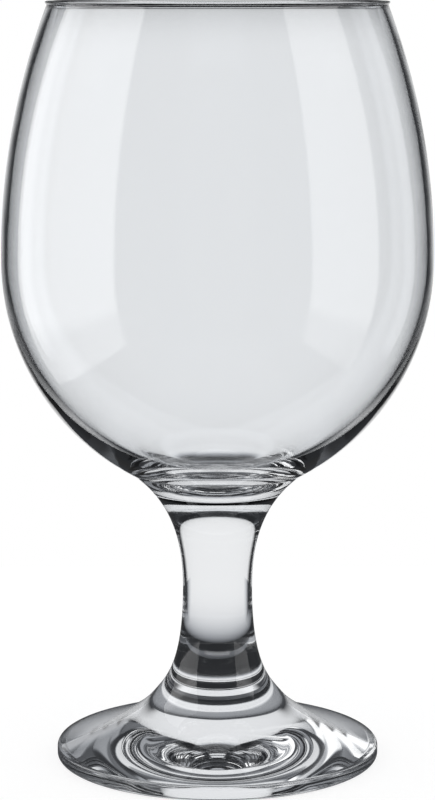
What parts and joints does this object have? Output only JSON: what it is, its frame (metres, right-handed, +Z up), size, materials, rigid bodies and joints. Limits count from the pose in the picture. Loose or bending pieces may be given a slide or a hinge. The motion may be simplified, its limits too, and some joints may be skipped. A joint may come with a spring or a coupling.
{
  "type": "water goblet",
  "caption": "Stemmed water goblet in clear glass: a deep barrel bowl with a beaded rim, on a short waisted stem and a round flared foot with a hollow underside.",
  "frame": {"origin": "centre of the flat ring under the foot, on the goblet's axis, at table level", "axes": "+Z up along the goblet's axis towards the rim; the goblet is round, so +X and +Y are any two level directions"},
  "size_m": [0.09, 0.09, 0.16],
  "materials": {
    "clear_glass": "fire-polished, clear and glossy"
  },
  "bodies": {
    "root": {"bowl": "clear_glass", "stem": "clear_glass", "foot": "clear_glass"}
  },
  "joints": []
}
